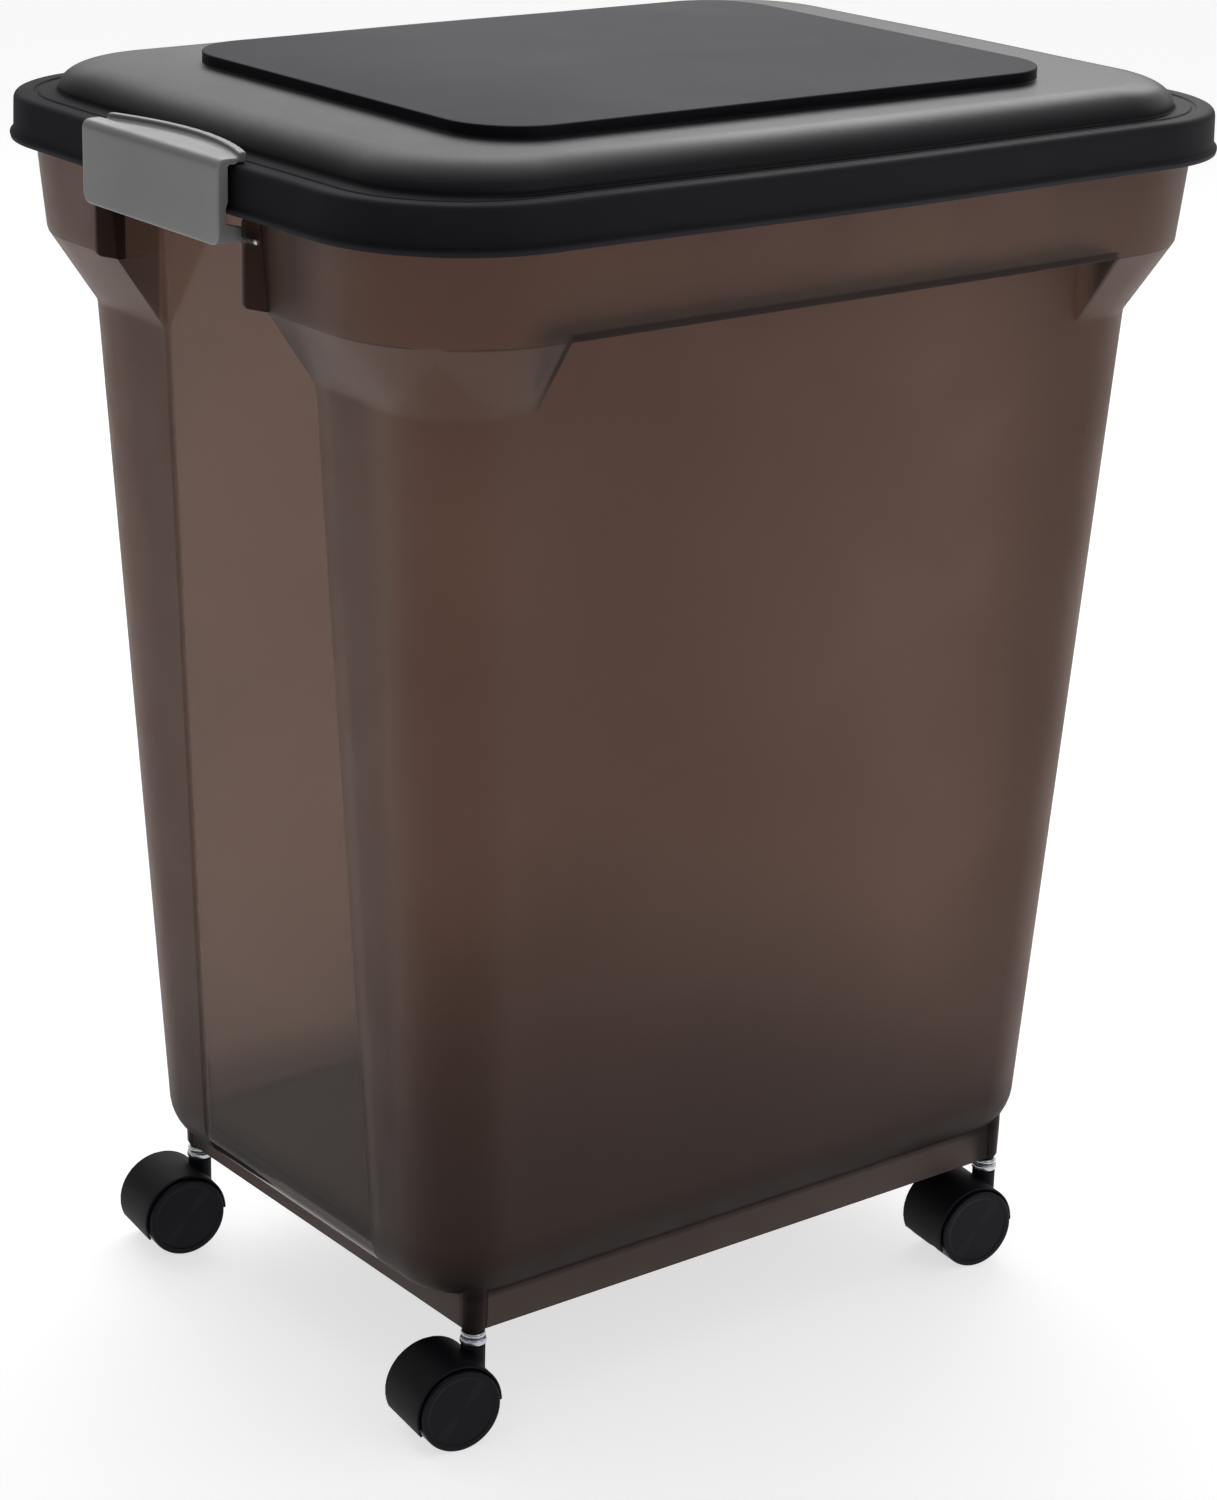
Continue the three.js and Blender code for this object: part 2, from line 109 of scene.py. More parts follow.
def smooth(obj):
    for polygon in obj.data.polygons:
        polygon.use_smooth = True


def face_outwards(obj):
    bm = bmesh.new()
    bm.from_mesh(obj.data)
    bmesh.ops.recalc_face_normals(bm, faces=bm.faces)
    bm.to_mesh(obj.data)
    bm.free()


def weight_normals(obj):
    modifier = obj.modifiers.new("weights", "WEIGHTED_NORMAL")
    modifier.mode = "FACE_AREA"
    modifier.weight = 50


def skin_rings(rings, closed_ends=True):
    """Vertices and faces of a skin through rings of equal length, in order."""
    count = len(rings[0])
    verts = [point for ring in rings for point in ring]
    faces = []
    for k in range(len(rings) - 1):
        for j in range(count):
            a = k * count + j
            b = k * count + (j + 1) % count
            faces.append((a, b, b + count, a + count))
    if closed_ends:
        faces.append(tuple(reversed(range(count))))
        last = (len(rings) - 1) * count
        faces.append(tuple(range(last, last + count)))
    return verts, faces


def skin_loop(rings):
    """The same, where the last ring joins back to the first, as on a tube's wall."""
    verts, faces = skin_rings(rings, closed_ends=False)
    count = len(rings[0])
    last = (len(rings) - 1) * count
    for j in range(count):
        k = (j + 1) % count
        faces.append((last + j, last + k, k, j))
    return verts, faces


def lathe(profile, steps, cx=0, cy=0):
    """Turned piece about an upright axis. A profile that starts on the axis closes there."""
    rings = []
    for radius, z in profile:
        ring = []
        r = max(radius, LEAST_RADIUS)
        for i in range(steps):
            a = 2 * math.pi * i / steps
            ring.append((cx + r * math.cos(a), cy + r * math.sin(a), z))
        rings.append(ring)
    if profile[0][0] < 1e-6:
        return skin_rings(rings)
    return skin_loop(rings)


def rounded(points, radius, steps=4, closed=False):
    """The polyline with its corners rounded by quadratic curves, by one radius or one for each."""
    out = []
    count = len(points)
    for i, point in enumerate(points):
        if not closed and i in (0, count - 1):
            out.append(point)
            continue
        before = points[i - 1]
        after = points[(i + 1) % count]
        size = radius[i] if isinstance(radius, (list, tuple)) else radius
        a = step_towards(point, before, size)
        b = step_towards(point, after, size)
        for s in range(steps + 1):
            t = s / steps
            out.append(blend3(a, point, b, t))
    return out


def step_towards(point, other, size):
    gap = math.dist(point, other)
    share = min(size, 0.45 * gap) / gap if gap > 1e-9 else 0
    return tuple(p + (o - p) * share for p, o in zip(point, other))


def blend3(a, b, c, t):
    u = 1 - t
    return tuple(u * u * x + 2 * u * t * y + t * t * z for x, y, z in zip(a, b, c))


def merge_parts(name, parts):
    """One object from several closed (verts, faces) shells."""
    verts = []
    faces = []
    for part_verts, part_faces in parts:
        base = len(verts)
        verts.extend(part_verts)
        faces.extend(tuple(base + i for i in face) for face in part_faces)
    return new_object(name, verts, faces)


# ---- tub -----------------------------------------------------------------------------------

X_LINES = (0, 30, 60, 90, 120, 140, 150, 151.6, 152.5, 153.4, 154.2, 155.5)
Y_LINES = (0, 15, 30, 45, 55, 58.4, 59.2, 59.8, 60.6, 61.2, 62.2)
CORNER_STEPS = 16
PAST_LINES = (0.35, 0.7, 1.0)


def side_positions(half, lines, scale):
    """Places along one straight side from its middle to its end."""
    places = [line * scale for line in lines]
    last = places[-1]
    places += [last + (half - last) * share for share in PAST_LINES]
    return places


def tub_ring(level, inset=0.0):
    """One outline of the tub, with the recess and the flat panel taken out where they belong."""
    hx, hy, r, z, bow = level
    hx -= inset
    hy -= inset
    r = max(r - inset, 1)
    across = side_positions(hy - r, Y_LINES, recess_half(z) / RECESS_HALF)
    along = side_positions(hx - r, X_LINES, min(1, (hx - r - 2) / X_LINES[-1]))
    points = []
    for turn, places, reach, half in (
        (0, across, hx, hy - r),
        (1, along, hy, hx - r),
        (2, across, hx, hy - r),
        (3, along, hy, hx - r),
    ):
        for place in [-p for p in reversed(places[1:])] + places:
            out = side_reach(turn % 2, place, reach, half, z, bow, inset)
            points.append(turned_point(turn, out, place, z))
        centre_out = reach - r
        for i in range(1, CORNER_STEPS):
            a = math.pi / 2 * i / CORNER_STEPS
            out = centre_out + r * math.cos(a)
            points.append(turned_point(turn, out, half + r * math.sin(a), z))
    return points


def turned_point(turn, out, along, z):
    if turn == 0:
        return (out, along, z)
    if turn == 1:
        return (-along, out, z)
    if turn == 2:
        return (-out, -along, z)
    return (along, -out, z)


def recess_half(z):
    """Half width of the recess, which narrows from its foot up to the chamfer."""
    spread = (RECESS_FOOT_HALF - RECESS_HALF) / (WALL_HIGH[3] - WALL_LOW[3])
    return RECESS_HALF + spread * max(WALL_HIGH[3] - z, 0)


def wall_reach(z, index):
    slope = (WALL_HIGH[index] - WALL_LOW[index]) / (WALL_HIGH[3] - WALL_LOW[3])
    return WALL_HIGH[index] + slope * (z - WALL_HIGH[3])


def side_reach(is_front, place, reach, half, z, bow, inset):
    """How far out a point of a side lies, with its bow, recess and panel."""
    size = FRONT_BOW if is_front else SIDE_BOW
    out = reach + bow * size * math.cos(math.pi / 2 * place / half) ** 2
    if is_front:
        if abs(place) < PANEL_HALF + inset and z < PANEL_TOP + inset and z > 470:
            out = min(out, wall_reach(z, 1) - inset)
    elif abs(place) < recess_half(z) + inset and z < RECESS_TOP + inset:
        out = min(out, wall_reach(z, 0) - RECESS_STEP - inset)
    return out


def bottom_levels(lift, steps=9):
    levels = []
    hx, hy, r, z_top, _ = WALL_LOW
    for i in range(steps):
        a = math.pi / 2 * i / steps
        drop = BOTTOM_CURVE * (1 - math.sin(a))
        z = FLOOR_UNDER + (z_top - FLOOR_UNDER) * (1 - math.cos(a)) + lift
        levels.append((hx - drop, hy - drop, r - 0.8 * drop, z, 0))
    return levels


def at_height(levels, z):
    """The level at height z on a rising list of levels."""
    for a, b in zip(levels, levels[1:]):
        if a[3] <= z <= b[3]:
            share = (z - a[3]) / (b[3] - a[3])
            return tuple(x + (y - x) * share for x, y in zip(a, b))
    return levels[-1]


def wall_levels(extra):
    """Levels from the foot of the wall to the collar's top, creases rounded, with extra heights."""
    main = rounded([WALL_LOW, WALL_HIGH, COLLAR_LOW, COLLAR_HIGH], WALL_FILLETS, 5)
    heights = {round(level[3], 3) for level in main} | set(extra)
    return [at_height(main, z) for z in sorted(heights) if WALL_LOW[3] <= z <= COLLAR_HIGH[3]]


def tub_outside():
    extra = [88, 110, 140, 200, 260, 320, 380, 430, 460, 472, PANEL_TOP - 1.2, PANEL_TOP - 0.4,
             PANEL_TOP - 0.05, PANEL_TOP + 0.05, PANEL_TOP + 0.6, 530, 545, 556,
             RECESS_TOP - 1, RECESS_TOP - 0.05, RECESS_TOP + 0.05, RECESS_TOP + 1, 567.5]
    levels = bottom_levels(0) + wall_levels(extra)
    hx, hy, r, _, bow = COLLAR_HIGH
    flange = ((1.2, 568.2), (3.4, 569.2), (4, 569.9), (4, 571.8), (3.6, RIM_TOP), (0, RIM_TOP))
    for grow, z in flange:
        levels.append((hx + grow, hy + grow, r + grow, z, bow))
    return [tub_ring(level) for level in levels]


def tub_inside():
    top = PANEL_TOP + WALL
    recess = RECESS_TOP + WALL
    extra = [90.5, 120, 200, 320, 430, 472, top - 1, top - 0.05, top + 0.05, top + 1, 540, 556,
             recess - 0.6, recess - 0.05, recess + 0.05, recess + 0.6]
    levels = bottom_levels(WALL) + wall_levels(extra)
    hx, hy, r, _, bow = COLLAR_HIGH
    levels.append((hx, hy, r, RIM_TOP - 0.6, bow))
    levels.append((hx + 0.6, hy + 0.6, r, RIM_TOP, bow))
    return [tub_ring(level, WALL) for level in levels]


def tub_shell():
    rings = tub_outside() + list(reversed(tub_inside()))
    return skin_rings(rings)


def simple_outline(hx, hy, r, z, steps, bow_x=0.0, bow_y=0.0, side=12):
    """A rounded rectangle whose straight sides may bow out in the middle."""
    points = []
    for turn, (reach, half, bow) in enumerate(
        ((hx, hy - r, bow_x), (hy, hx - r, bow_y), (hx, hy - r, bow_x), (hy, hx - r, bow_y))
    ):
        for i in range(side):
            t = 2 * i / side - 1
            out = reach + bow * math.cos(math.pi / 2 * t) ** 2
            points.append(turned_point(turn, out, half * t, z))
        for i in range(steps):
            a = math.pi / 2 * i / steps
            points.append(turned_point(turn, reach - r + r * math.cos(a), half + r * math.sin(a), z))
    return points


def foot_skirt(low):
    """The upright band round the underside of the tub, down to the height given."""
    hx, hy, r = FOOT
    profile = [(0, FOOT_TOP), (0, low + 0.6), (-0.6, low), (-1.9, low), (-WALL, low + 0.6),
               (-WALL, FOOT_TOP)]
    rings = []
    for grow, z in reversed(profile):
        rings.append(simple_outline(hx + grow, hy + grow, r + grow, z, 6))
    return skin_loop(rings)


def socket_post(x, y):
    profile = [(3.8, 49.9), (4.6, 49.9), (5.1, 50.4), (6, 52), (6.4, 66.4), (6.4, 92.5), (5.9, 93.6),
               (4.9, 94), (0, 94)]
    bore = [(0, 90), (3.5, 90), (3.8, 89.7)]
    return lathe(bore + profile, 32, x, y)


def ear(side, end):
    """A thin upright rib beside the recess, which holds the end of the latch pin."""
    outline = [(226.2, 517.6), (228.7, 517.6), (240.2, 520.6), (240.2, 557.9), (226.2, 557.9)]
    outline = rounded(outline, [0.2, 0.2, 2, 2, 0.2], 4, closed=True)
    middle_x, middle_z = 233.2, 538
    rings = []
    for y, shrink in ((EAR_IN, 0.5), (EAR_IN + 0.5, 0), (EAR_OUT - 0.5, 0), (EAR_OUT, 0.5)):
        ring = []
        for x, z in outline:
            sx = x - math.copysign(shrink, x - middle_x)
            sz = z - math.copysign(shrink, z - middle_z)
            ring.append((sx * side, y * end, sz))
        rings.append(ring)
    return skin_rings(rings)


def tub():
    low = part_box("bin_body")[0][2] / MM
    parts = [tub_shell(), foot_skirt(low + 0.8)]
    for name in CORNERS:
        x, y, _ = joint_place(f"caster_{name}_swivel")
        parts.append(socket_post(x, y))
    for side in (-1, 1):
        for end in (-1, 1):
            parts.append(ear(side, end))
    obj = merge_parts("tub_skin", parts)
    face_outwards(obj)
    weight_normals(obj)
    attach(obj, "bin")
    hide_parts("bin_body")
    return obj


def joint_place(name):
    """A joint's point in millimetres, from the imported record."""
    for joint in frame["joints"]:
        if joint["name"] == name:
            return tuple(value / MM for value in joint["pos_m"])
    raise ValueError(name)


# ---- lid -----------------------------------------------------------------------------------

LID = (241, 180.3, 68)
DOME = (221, 166.4, 57)
DOME_ROLL = 20
PLATE = (161.2, 122.6, 33)


def lid_ring(base, inset, z, soften=1.0, bow=1.0):
    """A ring of the lid, inset from a base outline; the corner radius shrinks by soften x inset."""
    hx, hy, r = base
    return simple_outline(hx - inset, hy - inset, r - soften * inset, z, 20,
                          SIDE_BOW * bow, FRONT_BOW * bow, side=16)


def dome_roll(inset, low, high, steps):
    """Rings of the dome's edge, a quarter ellipse from the ledge to its nearly flat top."""
    rings = []
    for i in range(steps + 1):
        a = math.pi / 2 * i / steps
        share = 1 - math.cos(a)
        reach = inset + (DOME_ROLL - inset) * share
        rings.append(lid_ring(DOME, reach, low + (high - low) * math.sin(a), 1 - 0.3 * share))
    return rings


def lid_outside():
    """Rings from the lip's lower edge, over the grooved ledge and the dome, to the raised panel."""
    skirt = [(-1.3, LIP_BOTTOM), (-1.3, 561.2), (0.3, 562.4), (0.8, LEDGE), (9.4, LEDGE),
             (9.9, LEDGE - 0.8), (11.5, LEDGE - 0.8), (12.2, LEDGE - 0.1), (16.5, LEDGE)]
    skirt = rounded(skirt, [0, 0.6, 0.8, 3.6, 0.6, 0.5, 0.5, 0.5, 0], 5)
    rings = [lid_ring(LID, inset, z) for inset, z in skirt]
    rings.append(lid_ring(DOME, -1.2, LEDGE))
    rings.append(lid_ring(DOME, -0.3, LEDGE + 0.25))
    rings += dome_roll(0, LEDGE, DOME_TOP - 0.1, 16)[1:]
    plate = [(-4, DOME_TOP - 0.1), (0, DOME_TOP), (0, TOP), (6, TOP)]
    plate = rounded(plate, [0, 0.25, 0.7, 0], 5)
    rings += [lid_ring(PLATE, inset, z, 1.0, 0) for inset, z in plate]
    return rings


def lid_inside():
    """Rings of the underside, from the skirt's foot up to the hollow under the raised panel."""
    rings = []
    for inset, z in ((2.6, 559.3), (3, 573.8), (5, 576.2)):
        rings.append(lid_ring(LID, inset, z))
    rings += dome_roll(2.8, 576.2, DOME_TOP - 2.7, 8)
    rings.append(lid_ring(PLATE, 2, DOME_TOP - 2.6, 1, 0))
    rings.append(lid_ring(PLATE, 2.6, 593.9, 1, 0))
    return rings


def lid():
    lip = [lid_ring(LID, inset, z) for inset, z in ((2.3, LIP_BOTTOM + 0.1), (-0.9, LIP_BOTTOM))]
    rings = list(reversed(lid_inside())) + lip + lid_outside()[1:]
    obj = new_object("lid_skin", *skin_rings(rings))
    face_outwards(obj)
    weight_normals(obj)
    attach(obj, "lid")
    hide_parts("lid")
    return obj


def seal():
    rings = []
    for inset, z in ((5.6, 573.4), (6.1, 572.9), (10.1, 572.9), (10.6, 573.4), (10.6, 575.4),
                     (10.1, 575.9), (6.1, 575.9), (5.6, 575.4)):
        rings.append(lid_ring(LID, inset, z))
    obj = new_object("seal_ring", *skin_loop(rings))
    face_outwards(obj)
    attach(obj, "lid")
    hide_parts("lid_seal")
    return obj


# ---- latches -------------------------------------------------------------------------------


def prism_x(points, low, high):
    """A flat outline of (y, z) points, drawn out along X."""
    return skin_rings([[(x, y, z) for y, z in points] for x in (low, high)])


def prism_y(points, low, high):
    """A flat outline of (x, z) points, drawn out along Y."""
    return skin_rings([[(x, y, z) for x, z in points] for y in (low, high)])


def prism_z(points, low, high):
    """A flat outline of (x, y) points, drawn out along Z."""
    return skin_rings([[(x, y, z) for x, y in points] for z in (low, high)])


def boolean(target, tool, operation):
    modifier = target.modifiers.new(operation, "BOOLEAN")
    modifier.operation = operation
    modifier.solver = "EXACT"
    modifier.object = tool
    apply_modifiers(target)
    bpy.data.objects.remove(tool)


def apply_modifiers(obj):
    graph = bpy.context.evaluated_depsgraph_get()
    mesh = bpy.data.meshes.new_from_object(obj.evaluated_get(graph))
    obj.modifiers.clear()
    obj.data = mesh


def solid(name, part):
    obj = new_object(name, *part)
    face_outwards(obj)
    return obj


def melt(obj, voxel, passes, keep):
    """Joins the shells into one skin with softly rounded edges, then thins its mesh."""
    remesh = obj.modifiers.new("voxels", "REMESH")
    remesh.mode = "VOXEL"
    remesh.voxel_size = voxel * MM
    relax = obj.modifiers.new("relax", "SMOOTH")
    relax.factor = 0.5
    relax.iterations = passes
    thin = obj.modifiers.new("thin", "DECIMATE")
    thin.ratio = keep
    apply_modifiers(obj)
    smooth(obj)


PIN_X = 235
PIN_Z = 548.2
LATCH_FACE = 249
LATCH_HALF = 54.6
LATCH_BOTTOM = 545.8
LATCH_TOP = 581.9
SHEET = 2.4
HOOK_UNDER = 579.2
HOOK_EDGE = 239.4
HOOK_REACH = 223.8
HOOK_CURVE = 10.2
BEAD = 3.6


def latch_hook():
    """The hook over the lid: a tongue whose edge curves inwards, and a bead along that edge."""
    half = LATCH_HALF - 2
    edge = []
    bead_in = []
    for i in range(33):
        t = 2 * i / 32 - 1
        reach = HOOK_REACH + HOOK_CURVE * t * t
        edge.append((reach, half * t))
        bead_in.append((reach + BEAD, half * t))
    tongue = [(HOOK_EDGE + 1, half), (HOOK_EDGE + 1, -half)] + edge
    bead = list(reversed(bead_in)) + edge
    return [prism_z(tongue, HOOK_UNDER, 581.2), prism_z(bead, HOOK_UNDER, 583.6)]


def latch_end(end):
    """The flange and the lug for the pin at one end of the latch."""
    flange = [(248, 546), (248, 580), (243.8, 580), (243.8, 564), (244.8, 562), (244.8, 546)]
    lug = [(248, 546), (248, 556), (243, 554.6)]
    for i in range(13):
        a = math.pi / 2 + math.pi * i / 12
        lug.append((PIN_X + 4.4 * math.cos(a), PIN_Z + 4.3 * math.sin(a)))
    parts = []
    for outline, width in ((flange, 2.2), (lug, 4)):
        low, high = sorted((end * (LATCH_HALF - width), end * LATCH_HALF))
        parts.append(prism_y(outline, low, high))
    return parts


def latch_parts():
    inner = LATCH_FACE - SHEET
    sheet = [(inner, LATCH_BOTTOM), (LATCH_FACE, LATCH_BOTTOM), (LATCH_FACE, LATCH_TOP),
             (HOOK_EDGE, LATCH_TOP), (HOOK_EDGE, HOOK_UNDER), (inner, HOOK_UNDER)]
    sheet = rounded(sheet, [0.2, 1, 4.6, 0.8, 0.2, 2.2], 7, closed=True)
    face = prism_y(sheet, -LATCH_HALF, LATCH_HALF)
    return [face] + latch_hook() + latch_end(-1) + latch_end(1)


def latch_window():
    """Rounded window that trims the latch's ends, as seen from outside."""
    above = 590
    corners = [(-LATCH_HALF, LATCH_BOTTOM), (LATCH_HALF, LATCH_BOTTOM), (LATCH_HALF, above),
               (-LATCH_HALF, above)]
    return prism_x(rounded(corners, [7, 7, 1, 1], 10, closed=True), 210, 260)


def onto_pin(side):
    """Places a piece turned about Z along the latch pin at one end of the bin."""
    place = Matrix.Translation((side * PIN_X * MM, 0, PIN_Z * MM))
    return place @ Matrix.Rotation(math.pi / 2, 4, "X")


def latch(name, side):
    obj = merge_parts(f"latch_{name}_skin", latch_parts())
    face_outwards(obj)
    melt(obj, 0.55, 0, 1)
    boolean(obj, solid("window", latch_window()), "INTERSECT")
    melt(obj, 0.4, 3, 0.3)
    hole = solid("hole", lathe([(0, -70), (1.8, -70), (1.8, 70), (0, 70)], 24))
    hole.data.transform(onto_pin(1))
    boolean(obj, hole, "DIFFERENCE")
    if side < 0:
        obj.data.transform(Matrix.Rotation(math.pi, 4, "Z"))
    smooth(obj)
    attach(obj, f"latch_{name}")
    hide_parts(f"latch_{name}")
    return obj


def latch_pin(name, side):
    profile = [(0, -62.6), (1.1, -62.6), (1.5, -62.2), (1.5, 62.2), (1.1, 62.6), (0, 62.6)]
    obj = solid(f"pin_{name}", lathe(profile, 32))
    obj.data.transform(onto_pin(side))
    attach(obj, "bin")
    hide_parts(f"latch_pin_{name}")
    return obj


# ---- casters -------------------------------------------------------------------------------

WHEEL_R = 19.9
TRAIL = 14.9
HOOD_R = 21.7
HOOD_HALF = 16.2
HOOD_SWEEP = math.radians(205)
POCKET_R = 20.5
WEB = 3.6
AXLE_BORE = 2.35


def lay_along_y(obj):
    obj.data.transform(Matrix.Rotation(-math.pi / 2, 4, "X"))


def wheel_profile():
    """(radius, distance out along the axle) round one wheel, with a blind bore for the axle."""
    outline = [(0, 18.0), (16.4, 18.0), (16.9, 18.3), (WHEEL_R - 0.4, 18.3), (WHEEL_R, 17.4),
               (WHEEL_R, 4.2), (AXLE_BORE, 4.2), (AXLE_BORE, 15.6), (0, 15.6)]
    return rounded(outline, [0, 0.4, 0.4, 0.8, 0.8, 0.7, 0.3, 0.2, 0], 4)


def caster(name):
    """The pieces of one caster, as (object, kind of material) pairs."""
    x, y, _ = joint_place(f"caster_{name}_swivel")
    turn = caster_turn(name, x, y)
    place = Matrix.Translation((x * MM, y * MM, 0)) @ Matrix.Rotation(turn, 4, "Z")
    body = f"caster_{name}"
    pieces = []
    hub = Matrix.Translation((TRAIL * MM, 0, WHEEL_R * MM))
    for letter, side in (("a", 1), ("b", -1)):
        obj = solid(f"{body}_tyre_{letter}", lathe(wheel_profile(), 96))
        obj.data.transform(Matrix.Rotation(-side * math.pi / 2, 4, "X"))
        obj.data.transform(place @ hub)
        weight_normals(obj)
        finish_piece(obj, f"{body}_wheel_{letter}", f"{body}_wheel_{letter}")
        pieces.append((obj, "wheel"))
    cover = hood(f"{body}_cover")
    cover.data.transform(place)
    finish_piece(cover, body, f"{body}_hood")
    steel = solid(f"{body}_post", lathe(stem_profile(), 48))
    steel.data.transform(place)
    finish_piece(steel, body, f"{body}_stem")
    sleeve = solid(f"{body}_sleeve", lathe(sleeve_profile(), 48))
    sleeve.data.transform(place)
    finish_piece(sleeve, "bin", f"{body}_socket")
    rod = solid(f"{body}_rod", lathe(rounded([(0, -15), (2, -15), (2, 15), (0, 15)], 0.4, 3), 32))
    lay_along_y(rod)
    rod.data.transform(place @ hub)
    finish_piece(rod, body, f"{body}_axle")
    return [(cover, "cover")] + pieces + [(steel, "steel"), (sleeve, "steel"), (rod, "steel")]


def caster_turn(name, x, y):
    """The angle that the caster trails at, from its wheel joint's place in the record."""
    cx, cy, _ = joint_place(f"caster_{name}_wheel_a_roll")
    return math.atan2(cy - y, cx - x)


def finish_piece(obj, body, node):
    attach(obj, body)
    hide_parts(node)


def stem_profile():
    return rounded([(0, 26), (2, 26), (2, 43.6), (6.2, 43.6), (6.2, 46), (5.2, 46.7), (2.5, 46.7),
                    (2.5, 86.5), (1.4, 88), (0, 88)], [0, 0.3, 0.2, 0.7, 0.7, 0.4, 0.3, 0.5, 0.4, 0], 4)


def sleeve_profile():
    return rounded([(2.8, 47.1), (5.4, 47.1), (6, 48), (5.4, 49.5), (3.5, 49.5), (3.5, 86), (2.8, 86)],
                   [0, 0.4, 0.6, 0.5, 0.3, 0.2, 0], 4)


def hood_sector(radius, low, high, first, last, steps=48):
    """A pie-shaped slice about the axle, from one angle to another, drawn out along Y."""
    points = [(TRAIL, WHEEL_R)]
    for i in range(steps + 1):
        a = first + (last - first) * i / steps
        points.append((TRAIL + radius * math.cos(a), WHEEL_R + radius * math.sin(a)))
    return prism_y(points, low, high)


def onto_axle(obj):
    """Lays a piece turned about Z along the axle."""
    lay_along_y(obj)
    obj.data.transform(Matrix.Translation((TRAIL * MM, 0, WHEEL_R * MM)))
    return obj


def hood(name):
    """The cover over both wheels, with its neck round the stem and its web round the axle."""
    cover = solid(name, hood_sector(HOOD_R, -HOOD_HALF, HOOD_HALF, math.pi - HOOD_SWEEP, math.pi))
    neck = solid("neck", lathe([(0, 24), (5.7, 24), (5.7, 42.6), (5.1, 43.2), (0, 43.2)], 48))
    boolean(cover, neck, "UNION")
    for side in (-1, 1):
        low, high = sorted((side * WEB, side * 30))
        pocket = solid("pocket", hood_sector(POCKET_R, low, high, 0, 2 * math.pi * 0.9999, 96))
        boolean(cover, pocket, "DIFFERENCE")
    hub = solid("hub", lathe([(0, -WEB), (5.5, -WEB), (5.5, WEB), (0, WEB)], 48))
    boolean(cover, onto_axle(hub), "UNION")
    hole = solid("hole", lathe([(0, 25.6), (2.3, 25.6), (2.3, 50), (0, 50)], 32))
    boolean(cover, hole, "DIFFERENCE")
    bore = solid("bore", lathe([(0, -10), (AXLE_BORE, -10), (AXLE_BORE, 10), (0, 10)], 32))
    boolean(cover, onto_axle(bore), "DIFFERENCE")
    melt(cover, 0.35, 3, 0.3)
    return cover


# ---- materials -----------------------------------------------------------------------------


class Nodes:
    """Small helper for building a material's node tree."""

    def __init__(self, name):
        self.material = bpy.data.materials.new(name)
        self.material.use_nodes = True
        self.tree = self.material.node_tree
        self.shader = self.tree.nodes["Principled BSDF"]
        self.coords = self.tree.nodes.new("ShaderNodeTexCoord").outputs["Object"]

    def add(self, kind, **settings):
        node = self.tree.nodes.new(kind)
        for key, value in settings.items():
            setattr(node, key, value)
        return node

    def link(self, output, target):
        self.tree.links.new(output, target)

    def stretched(self, scale):
        mapping = self.add("ShaderNodeMapping")
        mapping.inputs["Scale"].default_value = scale
        self.link(self.coords, mapping.inputs["Vector"])
        return mapping.outputs["Vector"]

    def noise(self, scale, detail=4, vector=None):
        node = self.add("ShaderNodeTexNoise")
        node.inputs["Scale"].default_value = scale
        node.inputs["Detail"].default_value = detail
        self.link(vector or self.coords, node.inputs["Vector"])
        return node.outputs["Fac"]

    def span(self, value, low, high, start=0.3, end=0.7):
        """Maps start..end to low..high and holds it there beyond both ends."""
        node = self.add("ShaderNodeMapRange")
        node.inputs["From Min"].default_value = start
        node.inputs["From Max"].default_value = end
        node.inputs["To Min"].default_value = low
        node.inputs["To Max"].default_value = high
        self.link(value, node.inputs["Value"])
        return node.outputs["Result"]

    def math(self, operation, a, b):
        node = self.add("ShaderNodeMath", operation=operation)
        for socket, value in zip(node.inputs, (a, b)):
            if isinstance(value, (int, float)):
                socket.default_value = value
            else:
                self.link(value, socket)
        return node.outputs[0]

    def mix(self, share, a, b):
        node = self.add("ShaderNodeMix", data_type="RGBA")
        self.link(share, node.inputs[0])
        for socket, value in ((node.inputs[6], a), (node.inputs[7], b)):
            if isinstance(value, tuple):
                socket.default_value = (*value, 1)
            else:
                self.link(value, socket)
        return node.outputs[2]

    def bump(self, heights):
        normal = None
        for height, distance, strength in heights:
            node = self.add("ShaderNodeBump")
            node.inputs["Distance"].default_value = distance
            node.inputs["Strength"].default_value = strength
            self.link(height, node.inputs["Height"])
            if normal is not None:
                self.link(normal, node.inputs["Normal"])
            normal = node.outputs["Normal"]
        self.link(normal, self.shader.inputs["Normal"])

    def edges(self, low, high):
        """0 on flats and 1 along convex edges."""
        geometry = self.add("ShaderNodeNewGeometry")
        return self.span(geometry.outputs["Pointiness"], 0, 1, low, high)

    def product(self, *values):
        total = values[0]
        for value in values[1:]:
            total = self.math("MULTIPLY", total, value)
        return total

    def place(self):
        """The X, Y and Z of the shaded point, as separate outputs."""
        split = self.add("ShaderNodeSeparateXYZ")
        self.link(self.coords, split.inputs[0])
        return split.outputs["X"], split.outputs["Y"], split.outputs["Z"]

    def colour(self, output):
        self.link(output, self.shader.inputs["Base Color"])

    def roughness(self, output):
        self.link(output, self.shader.inputs["Roughness"])

    def set(self, **values):
        for key, value in values.items():
            self.shader.inputs[key.replace("_", " ")].default_value = value


CHAMFER_SHEEN = (0.40, 0.34, 0.32)
SHELF_SHADE = (0.035, 0.033, 0.035)
PANEL_END_SHADE = (0.045, 0.042, 0.044)
CREASE_SHADE = (0.06, 0.05, 0.045)
JAMB_SHADE = (0.065, 0.048, 0.042)
LOW_SHADE = (0.080, 0.066, 0.062)
FOOT_SHADE = (0.045, 0.036, 0.033)
FLOOR_SHADE = (0.012, 0.008, 0.007)


